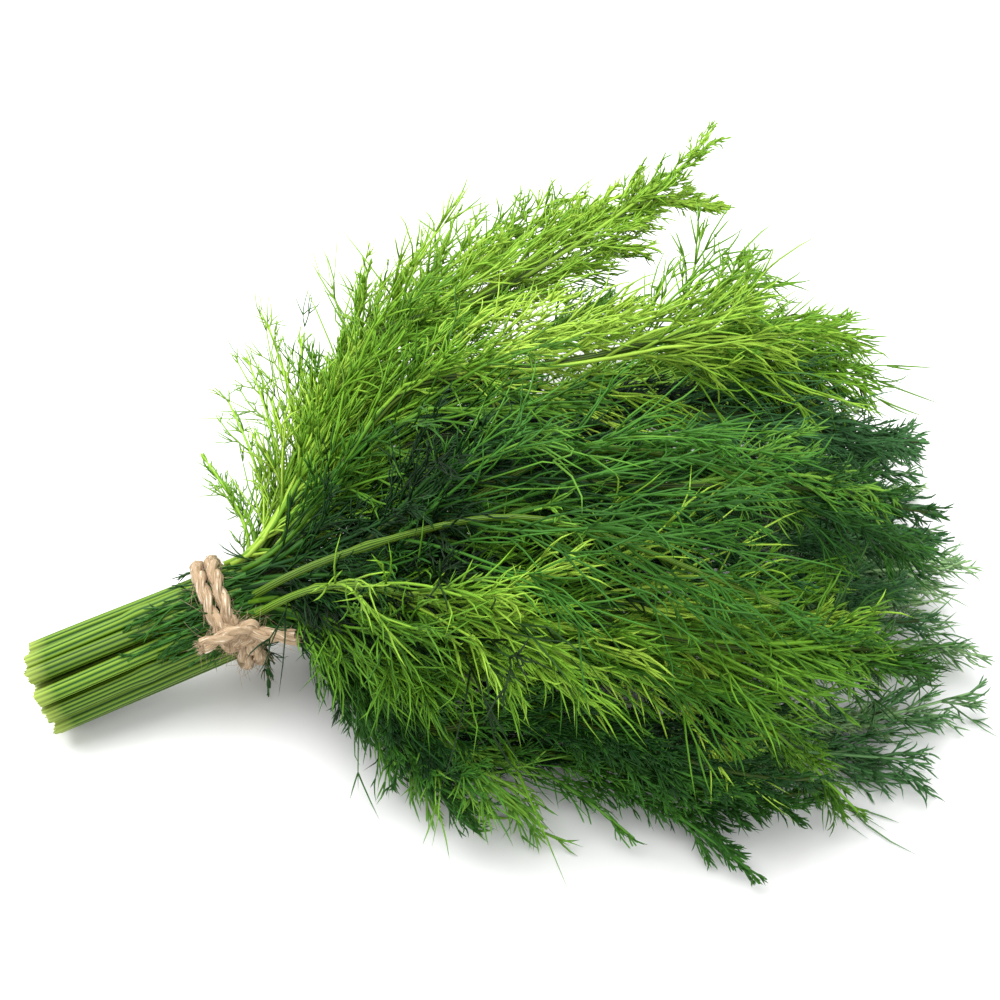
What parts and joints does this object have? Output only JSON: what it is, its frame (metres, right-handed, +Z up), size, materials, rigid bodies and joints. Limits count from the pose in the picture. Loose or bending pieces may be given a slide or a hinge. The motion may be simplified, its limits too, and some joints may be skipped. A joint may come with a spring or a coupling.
{
  "type": "dill bunch",
  "caption": "Bunch of cut dill lying on its side: ribbed green stems held near their cut ends by a knotted twine tie, opening into a broad, low fan of feathery thread-like leaves.",
  "frame": {"origin": "on the surface the bunch lies on, under the middle of its box in X and Y", "axes": "+X along the bunch from the cut stem ends to the leaf tips, +Y across it to the side where the plumes reach furthest, +Z up"},
  "size_m": [0.2976, 0.2526, 0.1052],
  "materials": {
    "dill_bright": "matte, waxy young leaf, bright yellow-green",
    "dill_green": "matte, waxy leaf, fresh green",
    "dill_deep": "matte, waxy leaf, deep blue-green",
    "jute": "rough, hairy two-ply jute twine, undyed tan"
  },
  "bodies": {
    "root": {"sprig_core": "dill_green", "sprig_inner_01": "dill_green", "sprig_inner_02": "dill_bright", "sprig_inner_03": "dill_bright", "sprig_inner_04": "dill_green", "sprig_inner_05": "dill_deep", "sprig_inner_06": "dill_green", "sprig_outer_01": "dill_green", "sprig_outer_02": "dill_bright", "sprig_outer_03": "dill_bright", "sprig_outer_04": "dill_bright", "sprig_outer_05": "dill_bright", "sprig_outer_06": "dill_green", "sprig_outer_07": "dill_green", "sprig_outer_08": "dill_deep", "sprig_outer_09": "dill_deep", "sprig_outer_10": "dill_deep", "sprig_outer_11": "dill_deep", "sprig_outer_12": "dill_green", "twine_tie": "jute"}
  },
  "joints": []
}
